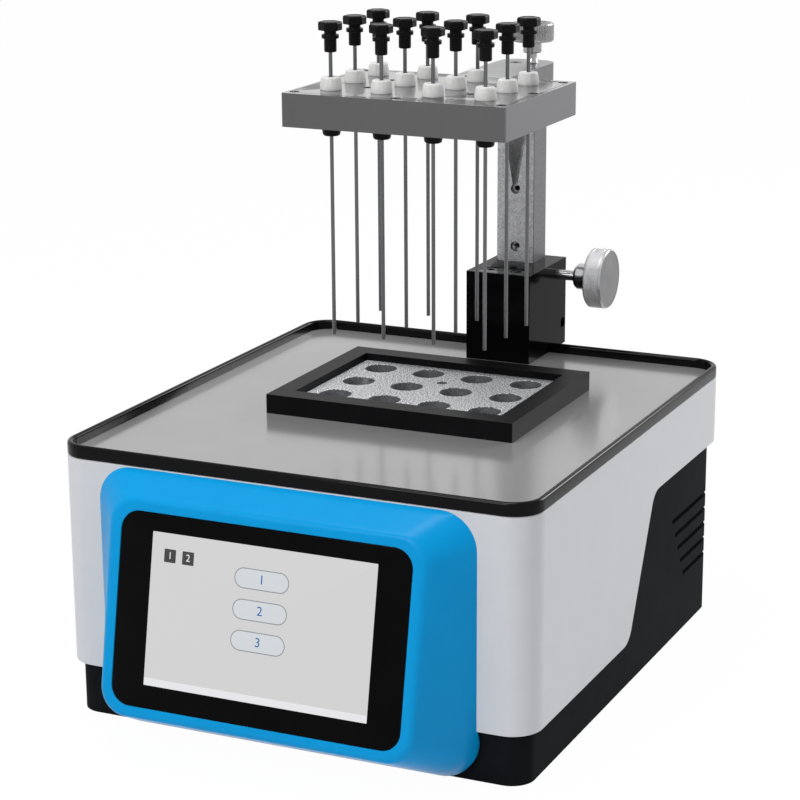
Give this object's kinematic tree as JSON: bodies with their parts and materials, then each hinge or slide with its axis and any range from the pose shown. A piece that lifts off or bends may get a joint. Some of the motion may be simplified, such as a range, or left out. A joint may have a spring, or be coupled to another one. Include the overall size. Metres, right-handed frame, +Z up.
{
  "type": "nitrogen sample evaporator",
  "caption": "Bench-top nitrogen sample evaporator: heated well block in a housing with a leaning display, under a gas manifold with sliding needles on a clamped post.",
  "frame": {"origin": "on the bench, under the middle of the bounding box", "axes": "+Z up, -Y towards the user and the display, +X to the user's right, where the clamp knob is"},
  "size_m": [0.2588, 0.3562, 0.3488],
  "materials": {
    "shell_paint": "satin light grey",
    "base_paint": "fine matt black",
    "plate_steel": "finely ground",
    "trim_black": "gloss",
    "bezel_blue": "satin gloss blue",
    "screen_glass": "gloss, printed black behind",
    "picture": "lit grey picture",
    "black_anodised": "satin black",
    "column_black": "gloss black",
    "block_aluminium": "fine blasted",
    "plain_aluminium": "milled",
    "knob_aluminium": "turned and knurled",
    "white_ptfe": "waxy white",
    "black_plastic": "moulded black",
    "needle_steel": "drawn tube",
    "screw_steel": "dark screws",
    "rubber": "matt",
    "board_green": "lacquered board",
    "insulation": "pressed fibre",
    "brass": "turned",
    "pin_metal": "plated"
  },
  "bodies": {
    "housing": {"upper_shell": "shell_paint", "base_housing": "base_paint", "bottom_cover": "base_paint", "cover_screws": "screw_steel", "rubber_feet": "rubber", "steel_top_plate": "plate_steel", "edge_trim": "trim_black", "display_bezel": "bezel_blue", "touch_glass": "screen_glass", "lcd_panel": "picture", "block_frame": "black_anodised", "frame_screws": "screw_steel", "heater_plate": "block_aluminium", "cartridge_heaters": "needle_steel", "insulation_tray": "insulation", "temperature_probe": "needle_steel", "control_board": "board_green", "power_supply": "plain_aluminium", "power_inlet": "black_plastic", "inlet_pins": "pin_metal", "column_block": "column_black", "column_screws": "screw_steel"},
    "head": {"post": "plain_aluminium", "arm": "plain_aluminium", "arm_screws": "screw_steel", "manifold_body": "plain_aluminium", "manifold_cover": "plain_aluminium", "manifold_gasket": "rubber", "manifold_screws": "screw_steel", "gas_inlet": "brass", "needle_collars": "white_ptfe", "gland_nuts": "black_plastic"},
    "heating_block": {"heating_block": "block_aluminium"},
    "clamp_knob": {"clamp_knob": "knob_aluminium"},
    "arm_thumbscrew": {"arm_thumbscrew": "knob_aluminium"},
    "power_rocker": {"power_rocker": "black_plastic"},
    "needle_1": {"needle_tube_1": "needle_steel", "needle_cap_1": "black_plastic"},
    "needle_2": {"needle_tube_2": "needle_steel", "needle_cap_2": "black_plastic"},
    "needle_3": {"needle_tube_3": "needle_steel", "needle_cap_3": "black_plastic"},
    "needle_4": {"needle_tube_4": "needle_steel", "needle_cap_4": "black_plastic"},
    "needle_5": {"needle_tube_5": "needle_steel", "needle_cap_5": "black_plastic"},
    "needle_6": {"needle_tube_6": "needle_steel", "needle_cap_6": "black_plastic"},
    "needle_7": {"needle_tube_7": "needle_steel", "needle_cap_7": "black_plastic"},
    "needle_8": {"needle_tube_8": "needle_steel", "needle_cap_8": "black_plastic"},
    "needle_9": {"needle_tube_9": "needle_steel", "needle_cap_9": "black_plastic"},
    "needle_10": {"needle_tube_10": "needle_steel", "needle_cap_10": "black_plastic"},
    "needle_11": {"needle_tube_11": "needle_steel", "needle_cap_11": "black_plastic"},
    "needle_12": {"needle_tube_12": "needle_steel", "needle_cap_12": "black_plastic"}
  },
  "joints": [
    {"name": "head_lift", "type": "slide", "parent": "housing", "child": "head", "axis": [0, 0, 1], "range_m": [-0.055, 0.06]},
    {"name": "block_lift_out", "type": "slide", "parent": "housing", "child": "heating_block", "axis": [0, 0, 1], "range_m": [0, 0.03]},
    {"name": "clamp_knob_turn", "type": "hinge", "parent": "housing", "child": "clamp_knob", "pos_m": [0.05, 0.16087, 0.1875], "axis": [1, 0, 0], "range_deg": [0, 360]},
    {"name": "arm_thumbscrew_turn", "type": "hinge", "parent": "head", "child": "arm_thumbscrew", "pos_m": [0.0066, 0.16226, 0.3095], "axis": [0, 0, 1], "range_deg": [0, 360]},
    {"name": "power_rocker_tilt", "type": "hinge", "parent": "housing", "child": "power_rocker", "pos_m": [-0.0585, 0.14597, 0.062], "axis": [1, 0, 0], "range_deg": [-18, 0]},
    {"name": "needle_1_slide", "type": "slide", "parent": "head", "child": "needle_1", "axis": [0, 0, 1], "range_m": [-0.0125, 0.06]},
    {"name": "needle_2_slide", "type": "slide", "parent": "head", "child": "needle_2", "axis": [0, 0, 1], "range_m": [-0.0125, 0.06]},
    {"name": "needle_3_slide", "type": "slide", "parent": "head", "child": "needle_3", "axis": [0, 0, 1], "range_m": [-0.0125, 0.06]},
    {"name": "needle_4_slide", "type": "slide", "parent": "head", "child": "needle_4", "axis": [0, 0, 1], "range_m": [-0.0125, 0.06]},
    {"name": "needle_5_slide", "type": "slide", "parent": "head", "child": "needle_5", "axis": [0, 0, 1], "range_m": [-0.0125, 0.06]},
    {"name": "needle_6_slide", "type": "slide", "parent": "head", "child": "needle_6", "axis": [0, 0, 1], "range_m": [-0.0125, 0.06]},
    {"name": "needle_7_slide", "type": "slide", "parent": "head", "child": "needle_7", "axis": [0, 0, 1], "range_m": [-0.0125, 0.06]},
    {"name": "needle_8_slide", "type": "slide", "parent": "head", "child": "needle_8", "axis": [0, 0, 1], "range_m": [-0.0125, 0.06]},
    {"name": "needle_9_slide", "type": "slide", "parent": "head", "child": "needle_9", "axis": [0, 0, 1], "range_m": [-0.0125, 0.06]},
    {"name": "needle_10_slide", "type": "slide", "parent": "head", "child": "needle_10", "axis": [0, 0, 1], "range_m": [-0.0125, 0.06]},
    {"name": "needle_11_slide", "type": "slide", "parent": "head", "child": "needle_11", "axis": [0, 0, 1], "range_m": [-0.0125, 0.06]},
    {"name": "needle_12_slide", "type": "slide", "parent": "head", "child": "needle_12", "axis": [0, 0, 1], "range_m": [-0.0125, 0.06]}
  ]
}
